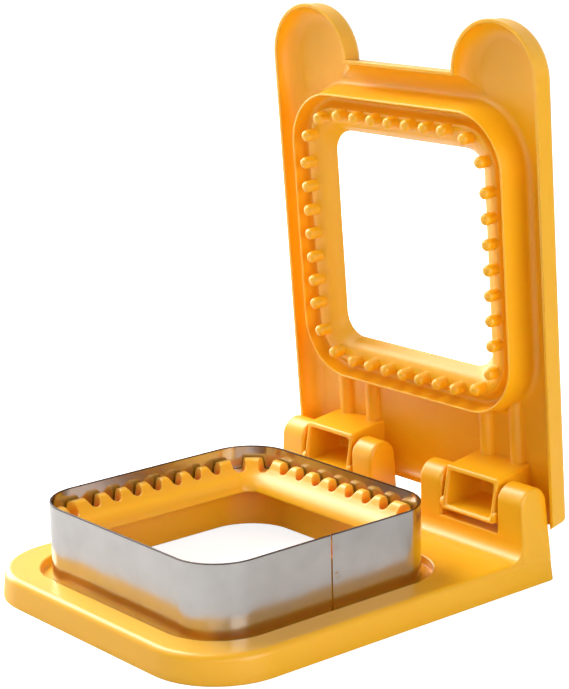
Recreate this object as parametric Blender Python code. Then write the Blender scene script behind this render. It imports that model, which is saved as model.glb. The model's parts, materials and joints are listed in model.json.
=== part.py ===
"""Sandwich cutter and sealer: toothed base, toothed lid and a loose square cutting frame.

Metres, +Z up. The base stands on the table, the lid hinges about an axis along X behind the ring,
and the lid is placed open. Heights in the base are above the table; heights in the lid are above the
hinge axis, with the lid closed.
"""
import bpy
import bmesh
import math
from mathutils import Matrix, Vector

for old in list(bpy.data.objects):
    bpy.data.objects.remove(old, do_unlink=True)

seat_gap = 0.0003
overrun = 0.002
sink = 0.0007
flush_step = 0.00018
edge_round = 0.0008

frame_side = 0.095
frame_corner = 0.0162
frame_height = 0.0255
strip_thickness = 0.0006
seam_width = 0.0004
seam_offset = 0.0003

# Borders are measured out from the recess that the steel frame stands in.
recess_gap = 0.0039
side_border = 0.0113
front_border = 0.0101
rear_border = 0.00835
base_top = 0.0093
base_edge = 0.002
front_corner = 0.0258
rear_corner = 0.0025
base_wall = 0.002
side_draft_share = 0.072
rear_draft_share = 0.088
tightest_corner_share = 0.2

recess_floor = 0.0062
recess_edge = 0.0003
floor_wall = 0.0016

ring_gap = 0.0006
ring_wall = 0.0018
ring_below_frame = 0.0038
ring_round = 0.0010
bead_reach = 0.0110
ring_lip_height = 0.019
ring_foot_corner = 0.017
lip_thickness = 0.0009

post_inset = 0.0025
post_corner_gain = 0.0006
post_radius = 0.002
post_pitch = 0.0085
corner_post_shares = (0.3, 0.7)
notch_clearance = 0.0006
notch_depth = 0.0044

axis_set_back = 0.02535
axis_below_frame = 0.0052
ear_radius = 0.0059
inner_ear_inside = 0.0123
inner_ear_width = 0.0104
outer_ear_width = 0.0137
ear_inset = 0.0003
low_wall_top = 0.0159
foot_round = 0.0052
foot_inside_share = 1.6
foot_outside_share = 0.35
ear_core_top = 0.0205
ear_wall = 0.0022

open_angle = math.radians(86.15)
lid_overhang = 0.0005
lid_front_overhang = 0.00065
lid_rear = 0.0100
lid_rear_corner = 0.0025
grip_radius = 0.019
grip_set_back = 0.0008
lid_inner = 0.0118
lid_wall = 0.0024
lid_lip = 0.0055
lid_lip_width = 0.0014
lid_edge = 0.0033
lid_draft_share = 0.12
lid_inner_round = 0.0062
rear_wall_lip = 0.0084
channel_step = 0.0001

rim_over_frame = 0.0044
rim_outset = 0.0034
rim_wall = 0.0008
rim_round_share = 0.35
rim_flare = 0.0012
rim_foot_round = 0.0024
groove_clearance = 0.0012
crest_gap = 0.0020
crest_outset = 0.0012
post_bite = 0.0026
upper_bead_reach = 0.0100
upper_lip_stretch = 0.0007
upper_lip_corner = 0.0084
upper_lip_height = 0.0087
mouth_round = 0.001

block_side_gap = 0.00125
block_front = 0.0071
block_rear = 0.0077
block_low_front = 0.0073
block_high_front = 0.0039
block_taper = 0.0012
block_side_wall = 0.0016
block_end_wall = 0.0017
pin_radius = 0.0026
pin_clearance = 0.0003
socket_depth = 0.0019
lug_radius = 0.00195
lug_gap = 0.0004
rib_radius = 0.0028
rib_inset = 0.00485
rib_rise = 0.0002

corner_steps = 8
grip_steps = 14
round_steps = 3

plastic_colour = (0.93, 0.50, 0.045, 1.0)
steel_colour = (0.62, 0.60, 0.58, 1.0)

frame_half = frame_side / 2
frame_inner = frame_half - strip_thickness
frame_bottom = recess_floor + seat_gap
frame_top = frame_bottom + frame_height
ring_half = frame_inner - ring_gap
ring_inner = ring_half - ring_wall
ring_top = frame_top - ring_below_frame
ring_lip_half = ring_half - bead_reach
concentric = frame_half - frame_corner
recess_half = frame_half + recess_gap
base_half = recess_half + side_border
base_front = recess_half + front_border
axis_y = recess_half + axis_set_back
axis_z = frame_top - axis_below_frame
base_rear = axis_y + rear_border
outer_ear_inside = base_half - outer_ear_width

post_line = ring_half - post_inset
post_line_corner = frame_corner - post_corner_gain
posts_each_way = int((post_line - post_line_corner) / post_pitch)
notch_radius = post_radius + notch_clearance

lid_half = base_half + lid_overhang
lid_front = axis_y + base_front + lid_front_overhang
lid_outer = lid_inner + lid_wall
groove_floor = groove_clearance + axis_below_frame
rim_height = axis_below_frame - rim_over_frame
rim_outer = frame_half + rim_outset
crest_height = ring_top + crest_gap - axis_z
post_tip_height = ring_top - post_bite - axis_z
upper_lip_half = ring_half - upper_bead_reach
upper_lip_long = upper_lip_half + upper_lip_stretch

block_inside = inner_ear_inside + inner_ear_width + block_side_gap
block_outside = outer_ear_inside - block_side_gap
block_middle = (block_inside + block_outside) / 2
rib_spread = (block_outside - block_inside) / 2 - rib_inset
lid_drafted = lid_draft_share * (lid_outer - lid_edge - lid_lip)
# The open lid's rearmost line, on its rounded rear edge, and the middle of the whole object.
lid_back = (axis_y + (lid_rear - lid_drafted - lid_edge) * math.cos(open_angle)
            + (lid_outer - lid_edge) * math.sin(open_angle) + lid_edge)
middle_y = (lid_back - base_front) / 2

# The ring's centre lies in front of the middle of the whole object, which is the origin.
ring_centre = bpy.data.objects.new("ring_centre", None)
bpy.context.scene.collection.objects.link(ring_centre)
ring_centre.location.y = -middle_y


def make_material(name, colour, roughness, metallic):
    material = bpy.data.materials.new(name)
    material.use_nodes = True
    shader = material.node_tree.nodes["Principled BSDF"]
    shader.inputs["Base Color"].default_value = colour
    shader.inputs["Roughness"].default_value = roughness
    shader.inputs["Metallic"].default_value = metallic
    material.diffuse_color = colour
    return material


def link(name, mesh, material=None, parent=None):
    data = bpy.data.meshes.new(name)
    mesh.normal_update()
    mesh.to_mesh(data)
    mesh.free()
    item = bpy.data.objects.new(name, data)
    bpy.context.scene.collection.objects.link(item)
    item.parent = parent or ring_centre
    if material:
        data.materials.append(material)
    return item


def corner_points(centre_x, centre_y, radius, start, turn, steps, height):
    points = []
    for step in range(steps + 1):
        angle = start + turn * step / steps
        points.append((centre_x + radius * math.cos(angle), centre_y + radius * math.sin(angle), height))
    return points


def rounded_loop(half_x, front, rear, front_radius, rear_radius, height, steps, centre_y=0):
    """Rounded rectangle, counter-clockwise from its rear right corner; steps holds rear and front counts."""
    corners = ((1, 1, rear_radius, rear, steps[0]), (-1, 1, rear_radius, rear, steps[0]),
               (-1, -1, front_radius, front, steps[1]), (1, -1, front_radius, front, steps[1]))
    loop = []
    for quarter, (side_x, side_y, radius, reach, count) in enumerate(corners):
        loop += corner_points(side_x * (half_x - radius), centre_y + side_y * (reach - radius), radius,
                              math.pi / 2 * quarter, math.pi / 2, count, height)
    return loop


def square_loop(half, height, steps, radius=None, centre_y=0, half_y=None):
    if radius is None:
        radius = half - concentric
    half_y = half if half_y is None else half_y
    return rounded_loop(half, half_y, half_y, radius, radius, height, steps, centre_y)


def loft(name, loops, material=None, parent=None):
    """Skin a closed chain of loops into one tube that closes on itself."""
    mesh = bmesh.new()
    rows = [[mesh.verts.new(point) for point in loop] for loop in loops]
    count = len(rows[0])
    for row, following in zip(rows, rows[1:] + rows[:1]):
        for index in range(count):
            after = (index + 1) % count
            mesh.faces.new((row[index], row[after], following[after], following[index]))
    bmesh.ops.recalc_face_normals(mesh, faces=mesh.faces)
    if mesh.calc_volume(signed=True) < 0:
        bmesh.ops.reverse_faces(mesh, faces=mesh.faces)
    return link(name, mesh, material, parent)


def prism(name, outline, span, bevel=0, lean=0, parent=None):
    """Extrude an outline in (y, z) along x over span; the outer end leans in by lean per unit height."""
    mesh = bmesh.new()
    low, high = span
    first = [mesh.verts.new((low, y, z)) for y, z in outline]
    last = [mesh.verts.new((high - lean * z, y, z)) for y, z in outline]
    ends = [mesh.faces.new(first), mesh.faces.new(last)]
    for index in range(len(outline)):
        after = (index + 1) % len(outline)
        mesh.faces.new((first[index], first[after], last[after], last[index]))
    bmesh.ops.recalc_face_normals(mesh, faces=mesh.faces)
    if bevel:
        rims = list({edge for face in ends for edge in face.edges})
        bmesh.ops.bevel(mesh, geom=rims, offset=bevel, segments=2, profile=0.5, affect="EDGES")
    return link(name, mesh, parent=parent)


def strip(name, outline, span, parent=None):
    """Extrude an outline in (x, z) along y over span."""
    mesh = bmesh.new()
    near = [mesh.verts.new((x, span[0], z)) for x, z in outline]
    far = [mesh.verts.new((x, span[1], z)) for x, z in outline]
    mesh.faces.new(near)
    mesh.faces.new(far)
    for index in range(len(outline)):
        after = (index + 1) % len(outline)
        mesh.faces.new((near[index], near[after], far[after], far[index]))
    bmesh.ops.recalc_face_normals(mesh, faces=mesh.faces)
    return link(name, mesh, parent=parent)


def box(name, low, high, parent=None):
    mesh = bmesh.new()
    bmesh.ops.create_cube(mesh, size=1)
    middle = [(a + b) / 2 for a, b in zip(low, high)]
    size = [b - a for a, b in zip(low, high)]
    bmesh.ops.scale(mesh, vec=size, verts=mesh.verts)
    bmesh.ops.translate(mesh, vec=middle, verts=mesh.verts)
    return link(name, mesh, parent=parent)


def cross_bar(name, radius, span, centre_y, centre_z, sides, parent=None):
    mesh = bmesh.new()
    turn = Matrix.Rotation(math.pi / 2, 4, "Y")
    place = Matrix.Translation(((span[0] + span[1]) / 2, centre_y, centre_z)) @ turn
    bmesh.ops.create_cone(mesh, cap_ends=True, segments=sides, radius1=radius, radius2=radius,
                          depth=span[1] - span[0], matrix=place)
    return link(name, mesh, parent=parent)


def combine(target, tool, operation):
    """Boolean with the tool, which then stays in the file as a hidden guide."""
    modifier = target.modifiers.new(tool.name, "BOOLEAN")
    modifier.operation = operation
    modifier.object = tool
    tool.display_type = "WIRE"
    tool.hide_render = True


def mirrored(span, side):
    return span if side > 0 else (-span[1], -span[0])


def post_places(half, radius):
    """Where the posts and the notches for them lie: (x, y, direction outwards)."""
    places = []
    straight = half - radius
    for quarter in range(4):
        turn = Matrix.Rotation(math.pi / 2 * quarter, 2)
        for count in range(-posts_each_way, posts_each_way + 1):
            places.append((turn @ Vector((half, count * post_pitch)), math.pi / 2 * quarter))
        for share in corner_post_shares:
            angle = math.pi / 2 * share
            spot = Vector((straight + radius * math.cos(angle), straight + radius * math.sin(angle)))
            places.append((turn @ spot, math.pi / 2 * quarter + angle))
    return places


def base_outline(height, inset, steps):
    side = base_half - side_draft_share * height - inset
    front = base_front - side_draft_share * height - inset
    rear = base_rear - rear_draft_share * height - inset
    tight = max(rear_corner - inset, rear_corner * tightest_corner_share)
    return rounded_loop(side, front, rear, front_corner - inset, tight, height, steps)


def lid_outline(height, inset):
    """Lid seen from above, closed, with the two grip ears at its front."""
    side = lid_half - inset
    tight = max(lid_rear_corner - inset, lid_rear_corner * tightest_corner_share)
    loop = []
    for quarter, side_x in enumerate((1, -1)):
        loop += corner_points(side_x * (side - tight), lid_rear - inset - tight, tight,
                              math.pi / 2 * quarter, math.pi / 2, corner_steps, height)
    radius = grip_radius - inset
    past = math.asin((inset - grip_set_back) / radius)
    middle = lid_half - grip_radius
    grip_y = grip_set_back - lid_front
    loop += corner_points(-middle, grip_y, radius, math.pi, math.pi + past, grip_steps, height)
    loop += corner_points(middle, grip_y, radius, math.pi - past, math.pi + past, grip_steps, height)
    return loop


def lid_ring(half, height, radius=None, half_y=None):
    return square_loop(half, height, (corner_steps, grip_steps), radius, -axis_y, half_y)


base_plastic = make_material("base_plastic", plastic_colour, 0.22, 0.0)
lid_plastic = make_material("lid_plastic", plastic_colour, 0.22, 0.0)
steel = make_material("steel", steel_colour, 0.18, 1.0)

# Base plate, recess and lower ring: one shell, skinned loop by loop round its section.
even = (corner_steps, corner_steps)
loops = [base_outline(0, 0, even)]
for step in range(round_steps + 1):
    angle = math.pi / 2 * step / round_steps
    loops.append(base_outline(base_top - base_edge * (1 - math.sin(angle)),
                              base_edge * (1 - math.cos(angle)), even))
loops.append(square_loop(recess_half + recess_edge, base_top, even))
loops.append(square_loop(recess_half, base_top - recess_edge, even))
loops.append(square_loop(recess_half, recess_floor, even))
loops.append(square_loop(ring_half, recess_floor, even))
for step in range(round_steps + 1):
    angle = math.pi / 2 * step / round_steps
    loops.append(square_loop(ring_half - ring_round * (1 - math.cos(angle)),
                             ring_top - ring_round * (1 - math.sin(angle)), even))
# The inner side of the ring: the tooth faces, then a rounded bead down to the lip.
bead_width = ring_half - ring_round - ring_lip_half
bead_drop = ring_top - ring_lip_height
bead_width_shares = (0.11, 0.19, 0.25, 0.285, 0.32, 0.38, 0.54, 0.73, 0.89, 0.97, 1.0)
bead_drop_shares = (0.0, 0.05, 0.15, 0.28, 0.39, 0.43, 0.49, 0.60, 0.76, 0.90, 1.0)
for along, down in zip(bead_width_shares, bead_drop_shares):
    loops.append(square_loop(ring_half - ring_round - bead_width * along,
                             ring_top - bead_drop * down, even))
lip_back_share = 0.5
loops.append(square_loop(ring_lip_half + lip_thickness,
                         ring_lip_height - lip_thickness * lip_back_share, even))
under_width_shares = (0.80, 0.63, 0.43)
under_drop_shares = (0.86, 0.74, 0.67)
ring_inside_share = 0.62
for along, down in zip(under_width_shares, under_drop_shares):
    loops.append(square_loop(ring_half - ring_round - bead_width * along,
                             ring_top - bead_drop * down, even))
loops.append(square_loop(ring_inner, ring_top - bead_drop * ring_inside_share, even))
loops.append(square_loop(ring_inner, recess_floor - floor_wall, even, ring_foot_corner))
loops.append(square_loop(recess_half + floor_wall, recess_floor - floor_wall, even))
loops.append(square_loop(recess_half + floor_wall, base_top - base_wall, even))
loops.append(base_outline(base_top - base_wall, base_wall, even))
loops.append(base_outline(0, base_wall, even))
base = loft("base", loops, base_plastic)

# Notches in the crest leave the lower teeth; the lid's posts come down into them.
mesh = bmesh.new()
notch_sides = 10
for spot, direction in post_places(post_line, post_line_corner):
    outline = []
    for step in range(notch_sides + 1):
        angle = direction + math.pi / 2 + math.pi * step / notch_sides
        outline.append((spot.x + notch_radius * math.cos(angle), spot.y + notch_radius * math.sin(angle)))
    reach = ring_half - post_line + strip_thickness + overrun
    for x, y in (outline[-1], outline[0]):
        outline.append((x + reach * math.cos(direction), y + reach * math.sin(direction)))
    low = [mesh.verts.new((x, y, ring_top - notch_depth)) for x, y in outline]
    high = [mesh.verts.new((x, y, ring_top + overrun)) for x, y in outline]
    mesh.faces.new(low)
    mesh.faces.new(high)
    for index in range(len(outline)):
        after = (index + 1) % len(outline)
        mesh.faces.new((low[index], low[after], high[after], high[index]))
bmesh.ops.recalc_face_normals(mesh, faces=mesh.faces)
combine(base, link("notches", mesh), "DIFFERENCE")

# Hinge brackets: two ears each, joined by a low step with a concave foot, all hollow from below.
ear_low = base_top - base_edge + seat_gap
ear_front_y = axis_y - ear_radius
ear_steps = 12
ear_profile = [(ear_front_y, ear_low)]
for step in range(ear_steps + 1):
    angle = math.pi - math.pi * step / ear_steps
    ear_profile.append((axis_y + ear_radius * math.cos(angle), axis_z + ear_radius * math.sin(angle)))
ear_profile.append((base_rear - rear_draft_share * ear_low - ear_inset, ear_low))
foot_steps = 6
foot_front = ear_front_y - flush_step
foot_rear_top = base_rear - rear_draft_share * low_wall_top - ear_inset - flush_step
foot_rear_low = base_rear - rear_draft_share * base_top - ear_inset - flush_step
foot_profile = [(foot_rear_low, base_top - sink), (foot_front - foot_round - sink, base_top - sink)]
for step in range(foot_steps + 1):
    angle = math.pi / 2 * step / foot_steps
    foot_profile.append((foot_front - foot_round * (1 - math.sin(angle)),
                         base_top + foot_round * (1 - math.cos(angle))))
foot_profile += [(foot_front, low_wall_top), (foot_rear_top, low_wall_top)]
inner_ear = (inner_ear_inside, inner_ear_inside + inner_ear_width)
outer_ear = (outer_ear_inside, base_half - ear_inset)
for side in (1, -1):
    label = "right" if side > 0 else "left"
    parts = []
    for name, span, lean in (("inner_ear", inner_ear, 0), ("outer_ear", outer_ear, side_draft_share)):
        ear = prism(name + "_" + label, ear_profile, span, edge_round, lean)
        parts.append(ear)
    foot_span = (inner_ear_inside + edge_round * foot_inside_share,
                 base_half - base_edge * foot_outside_share)
    parts.append(prism("foot_" + label, foot_profile, foot_span, 0, side_draft_share))
    for item in parts:
        if side < 0:
            for vertex in item.data.vertices:
                vertex.co.x = -vertex.co.x
            item.data.flip_normals()
        combine(base, item, "UNION")
    for name, span in (("inner_core", inner_ear), ("outer_core", outer_ear)):
        low_x, high_x = span[0] + ear_wall, span[1] - ear_wall - side_draft_share * ear_core_top
        low_x, high_x = mirrored((low_x, high_x), side)
        core = box(name + "_" + label, (low_x, ear_front_y + ear_wall, -overrun),
                   (high_x, axis_y + ear_radius - ear_wall, ear_core_top))
        combine(base, core, "DIFFERENCE")
    low_x, high_x = mirrored((inner_ear[1], outer_ear[0]), side)
    core = box("foot_core_" + label, (low_x, ear_front_y + ear_wall, -overrun),
               (high_x, foot_rear_top - ear_wall, low_wall_top - ear_wall))
    combine(base, core, "DIFFERENCE")
    for name, face, step_in in (("inner_socket", inner_ear[1], -1), ("outer_socket", outer_ear[0], 1)):
        span = sorted((side * (face - step_in * overrun), side * (face + step_in * socket_depth)))
        socket = cross_bar(name + "_" + label, pin_radius + pin_clearance, span, axis_y, axis_z, 24)
        combine(base, socket, "DIFFERENCE")

# Steel frame: a strip bent round four corners, its ends meeting at a seam on the right.
loops = [square_loop(frame_half, frame_bottom, even), square_loop(frame_half, frame_top, even),
         square_loop(frame_inner, frame_top, even), square_loop(frame_inner, frame_bottom, even)]
cutter_frame = loft("cutter_frame", loops, steel)
seam = box("seam", (frame_half - strip_thickness / 2, seam_offset - seam_width / 2, frame_bottom - overrun),
           (frame_half + overrun, seam_offset + seam_width / 2, frame_top + overrun))
combine(cutter_frame, seam, "DIFFERENCE")

# Lid, modelled closed about the hinge axis, then turned open by its own rotation.
hinge = bpy.data.objects.new("hinge", None)
bpy.context.scene.collection.objects.link(hinge)
hinge.parent = ring_centre
hinge.location = (0, axis_y, axis_z)
loops = [lid_outline(lid_lip, 0)]
for step in range(round_steps + 1):
    angle = math.pi / 2 * step / round_steps
    loops.append(lid_outline(lid_outer - lid_edge * (1 - math.sin(angle)),
                             lid_drafted + lid_edge * (1 - math.cos(angle))))
loops.append(lid_ring(ring_inner + mouth_round, lid_outer))
loops.append(lid_ring(ring_inner, lid_outer - mouth_round))
upper_width = post_line - upper_lip_half
upper_drop = upper_lip_height - crest_height
upper_inside_share = 0.6
loops.append(lid_ring(ring_inner, crest_height + upper_drop * upper_inside_share))
under_shares = ((0.95, 0.42), (0.62, 0.55), (0.30, 0.95))
for along, down in under_shares:
    half = upper_lip_half + upper_width * along
    loops.append(lid_ring(half, crest_height + upper_drop * down,
                          max(half - concentric, upper_lip_corner)))
loops.append(lid_ring(upper_lip_half + lip_thickness, upper_lip_height + lip_thickness * lip_back_share,
                      upper_lip_corner, upper_lip_long + lip_thickness))
loops.append(lid_ring(upper_lip_half, upper_lip_height, upper_lip_corner, upper_lip_long))
slope_shares = ((0.09, 0.85), (0.25, 0.53), (0.44, 0.26), (0.63, 0.12), (0.84, 0.04), (0.96, 0.0))
for along, down in slope_shares:
    half = upper_lip_half + upper_width * along
    longer = (upper_lip_long - upper_lip_half) * (1 - along)
    loops.append(lid_ring(half, crest_height + upper_drop * down,
                          max(half - concentric, upper_lip_corner), half + longer))
# From the crest a smooth channel, deep enough for the steel frame, runs out to a thin rim.
crest_end = post_line + crest_outset
channel_end = rim_outer - rim_wall
loops.append(lid_ring(crest_end, crest_height))
channel_out_shares = ((0.12, 0.14), (0.25, 0.58), (0.37, 0.84), (0.50, 0.98), (0.66, 1.0))
for along, down in channel_out_shares:
    loops.append(lid_ring(crest_end + (channel_end - crest_end) * along,
                          crest_height + (groove_floor - crest_height) * down))
channel_in_shares = ((0.82, 0.86), (0.92, 0.62), (0.98, 0.32))
for along, down in channel_in_shares:
    loops.append(lid_ring(crest_end + (channel_end - crest_end) * along,
                          rim_height + (groove_floor - rim_height) * down))
rim_round = rim_wall * rim_round_share
loops.append(lid_ring(channel_end, rim_height + rim_round))
loops.append(lid_ring(channel_end + rim_round, rim_height))
loops.append(lid_ring(rim_outer - rim_round, rim_height))
loops.append(lid_ring(rim_outer, rim_height + rim_round))
foot_half = rim_outer + rim_flare
for step in range(round_steps + 1):
    angle = math.pi / 2 * step / round_steps
    loops.append(lid_ring(foot_half + rim_foot_round * (1 - math.cos(angle)),
                          lid_inner - rim_foot_round * (1 - math.sin(angle))))
for step in range(round_steps + 1):
    angle = math.pi / 2 * step / round_steps
    deep = lid_inner_round * (1 - math.sin(angle))
    loops.append(lid_outline(lid_inner - lid_inner_round * (1 - math.cos(angle)),
                             lid_lip_width + deep))
loops.append(lid_outline(lid_lip, lid_lip_width))
lid = loft("lid", loops, lid_plastic, hinge)

# Behind the hinge the lid's skirt is cut down to a low wall, which clears the ears.
channel_half = lid_half - lid_lip_width - channel_step
centre_z = lid_inner - channel_step - lid_inner_round
wall_angle = math.asin((rear_wall_lip - centre_z) / lid_inner_round)
outline = [(channel_half, lid_lip - overrun), (-channel_half, lid_lip - overrun)]
for side in (-1, 1):
    for step in range(round_steps + 1):
        angle = wall_angle * (step if side < 0 else round_steps - step) / round_steps
        outline.append((side * (channel_half - lid_inner_round * (1 - math.cos(angle))),
                        centre_z + lid_inner_round * math.sin(angle)))
combine(lid, strip("rear_cut", outline, (0, lid_rear + overrun), hinge), "DIFFERENCE")

mesh = bmesh.new()
post_sides = 12
post_base = crest_height + lip_thickness
for spot, direction in post_places(post_line, post_line_corner):
    levels = [(post_radius, post_base)]
    for step in range(round_steps):
        angle = math.pi / 2 * step / round_steps
        levels.append((post_radius * math.cos(angle), post_tip_height + post_radius * (1 - math.sin(angle))))
    rows = []
    for radius, height in levels:
        circle = corner_points(spot.x, spot.y - axis_y, radius, 0, 2 * math.pi, post_sides, height)
        rows.append([mesh.verts.new(point) for point in circle[:-1]])
    tip = mesh.verts.new((spot.x, spot.y - axis_y, post_tip_height))
    mesh.faces.new(rows[0])
    for index in range(post_sides):
        after = (index + 1) % post_sides
        mesh.faces.new((rows[-1][index], rows[-1][after], tip))
        for row, following in zip(rows, rows[1:]):
            mesh.faces.new((row[index], row[after], following[after], following[index]))
bmesh.ops.recalc_face_normals(mesh, faces=mesh.faces)
combine(lid, link("posts", mesh, parent=hinge), "UNION")

# Hinge blocks: open-fronted boxes with pins, lugs and two ribs up to the ring.
block_profile = [(block_rear, -block_low_front), (block_rear + block_taper, lid_inner + sink),
                 (-block_front - block_taper, lid_inner + sink), (-block_front, -block_high_front)]
rib_profile_steps = 6
for side in (1, -1):
    label = "right" if side > 0 else "left"
    span = mirrored((block_inside, block_outside), side)
    combine(lid, prism("block_" + label, block_profile, span, edge_round, 0, hinge), "UNION")
    low_x, high_x = mirrored((block_inside + block_side_wall, block_outside - block_side_wall), side)
    pocket = box("pocket_" + label, (low_x, block_end_wall - block_front, -block_low_front - overrun),
                 (high_x, block_rear - block_end_wall, lid_inner), hinge)
    combine(lid, pocket, "DIFFERENCE")
    pin_reach = block_side_gap + socket_depth - pin_clearance
    for name, face, way in (("inner", block_inside, -1), ("outer", block_outside, 1)):
        pin_span = sorted((side * (face + way * pin_reach), side * (face - way * sink)))
        combine(lid, cross_bar("pin_%s_%s" % (name, label), pin_radius, pin_span, 0, 0, 24, hinge), "UNION")
        lug_span = sorted((side * (face + way * (block_side_gap - lug_gap)), side * (face - way * sink)))
        lug = cross_bar("lug_%s_%s" % (name, label), lug_radius, lug_span,
                        block_rear - lug_radius - flush_step,
                        lug_radius + flush_step - block_low_front, 16, hinge)
        combine(lid, lug, "UNION")
    for way in (-1, 1):
        across = block_middle + way * rib_spread
        middle = side * across
        # Where the ring's rounded corner leaves the rib's outer flank.
        past = max(across + rib_radius - concentric, 0)
        corner = rim_outer - concentric
        ring_back = axis_y - concentric - math.sqrt(corner ** 2 - past ** 2)
        outline = [(middle + rib_radius, lid_inner + sink)]
        for step in range(rib_profile_steps + 1):
            angle = math.pi * step / rib_profile_steps
            outline.append((middle + rib_radius * math.cos(angle),
                            lid_inner - rib_rise - rib_radius * math.sin(angle)))
        outline.append((middle - rib_radius, lid_inner + sink))
        rib_span = (-ring_back - sink, sink - block_front)
        rib = strip("rib_%s_%s" % ("inner" if way < 0 else "outer", label), outline, rib_span, hinge)
        combine(lid, rib, "UNION")

hinge.rotation_euler.x = -open_angle
for item in (base, cutter_frame, lid):
    item.data.shade_smooth()
    item.data.set_sharp_from_angle(angle=math.radians(35))
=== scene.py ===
import json
import math
import bpy
import numpy as np
from mathutils import Matrix, Vector


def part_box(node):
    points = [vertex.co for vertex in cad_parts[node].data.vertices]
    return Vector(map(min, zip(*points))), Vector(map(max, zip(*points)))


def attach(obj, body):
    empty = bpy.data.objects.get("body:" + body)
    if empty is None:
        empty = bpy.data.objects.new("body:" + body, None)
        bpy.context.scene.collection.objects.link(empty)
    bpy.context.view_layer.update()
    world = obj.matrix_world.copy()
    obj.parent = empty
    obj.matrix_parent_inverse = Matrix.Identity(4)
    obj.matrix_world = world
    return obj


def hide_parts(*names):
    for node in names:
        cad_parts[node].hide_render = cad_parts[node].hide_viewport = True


# Sandwich cutter and sealer, standing open. Sizes below are in millimetres, angles in degrees.
# Base and frame are drawn round the middle of the ring, the lid closed and round its hinge axis.

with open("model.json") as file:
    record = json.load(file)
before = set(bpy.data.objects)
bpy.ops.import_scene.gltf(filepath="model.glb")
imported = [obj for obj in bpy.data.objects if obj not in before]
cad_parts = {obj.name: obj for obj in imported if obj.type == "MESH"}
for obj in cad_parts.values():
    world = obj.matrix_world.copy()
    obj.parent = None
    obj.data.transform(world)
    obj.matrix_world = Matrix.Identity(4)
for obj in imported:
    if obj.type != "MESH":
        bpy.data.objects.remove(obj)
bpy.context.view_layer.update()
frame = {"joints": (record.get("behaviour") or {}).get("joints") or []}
frameLow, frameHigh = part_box("cutter_frame")
hingeJoint = [joint for joint in frame["joints"] if joint["name"] == "lid_hinge"][0]
mm = 0.001
ringY = (frameLow.y + frameHigh.y) / 2 / mm
pivotY = hingeJoint["pos_m"][1] / mm - ringY
pivotZ = hingeJoint["pos_m"][2] / mm
openAngle = hingeJoint["range_deg"][1]
squareCorners = ((1, 1), (-1, 1), (-1, -1), (1, -1))
print("frame loaded, ring at y %.2f mm, hinge %.2f mm behind it" % (ringY, pivotY))


def closedPath(halfX, front, rear, frontRadius, rearRadius, steps=24, middleY=0.0):
    # Rounded rectangle: four quarter circles, each centre plus radius times (cos, sin) of the angle.
    quarter = np.arange(4)[:, None]
    angle = (quarter + np.linspace(0, 1, steps + 1)[None, :]) * math.pi / 2
    sideX = np.array([1, -1, -1, 1])[:, None]
    sideY = np.array([1, 1, -1, -1])[:, None]
    radius = np.where(sideY > 0, rearRadius, frontRadius)
    reach = np.where(sideY > 0, rear, front)
    x = sideX * (halfX - radius) + radius * np.cos(angle)
    y = middleY + sideY * (reach - radius) + radius * np.sin(angle)
    return np.stack([x.ravel(), y.ravel()], axis=1)


def atHeight(path, height):
    return np.column_stack([path, np.full(len(path), height)])


def smoothRows(rows, share=4):
    # A curve through every row of numbers, in cubic pieces cut into share steps each. Its slope at a row
    # is half the way from the row before to the row after.
    rows = np.asarray(rows, float)
    before = np.vstack([2 * rows[:1] - rows[1:2], rows[:-1]])
    after = np.vstack([rows[1:], 2 * rows[-1:] - rows[-2:-1]])
    start, end, t = rows[:-1], rows[1:], np.arange(share)[None, :, None] / share
    slopeStart, slopeEnd = (after - before)[:-1, None] / 2, (after - before)[1:, None] / 2
    start, end = start[:, None], end[:, None]
    body = ((2 * t**3 - 3 * t**2 + 1) * start + (t**3 - 2 * t**2 + t) * slopeStart
            + (3 * t**2 - 2 * t**3) * end + (t**3 - t**2) * slopeEnd)
    return np.vstack([body.reshape(-1, rows.shape[1]), rows[-1:]])


def quarterRound(steps=6):
    # Pairs (1 - cos, 1 - sin) of an angle from 0 to 90 degrees: how far in, and how far below the end.
    angle = np.linspace(0, math.pi / 2, steps + 1)
    return np.stack([1 - np.cos(angle), 1 - np.sin(angle)], axis=1)


def roundedEnds(low, high, edge, steps):
    # Places from low to high with how far the section is drawn in there, by a quarter round at each end.
    rounds = quarterRound(steps)
    stations = [(low + edge * below, edge * across) for across, below in rounds[::-1]]
    return stations + [(high - edge * below, edge * across) for across, below in rounds]


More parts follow.
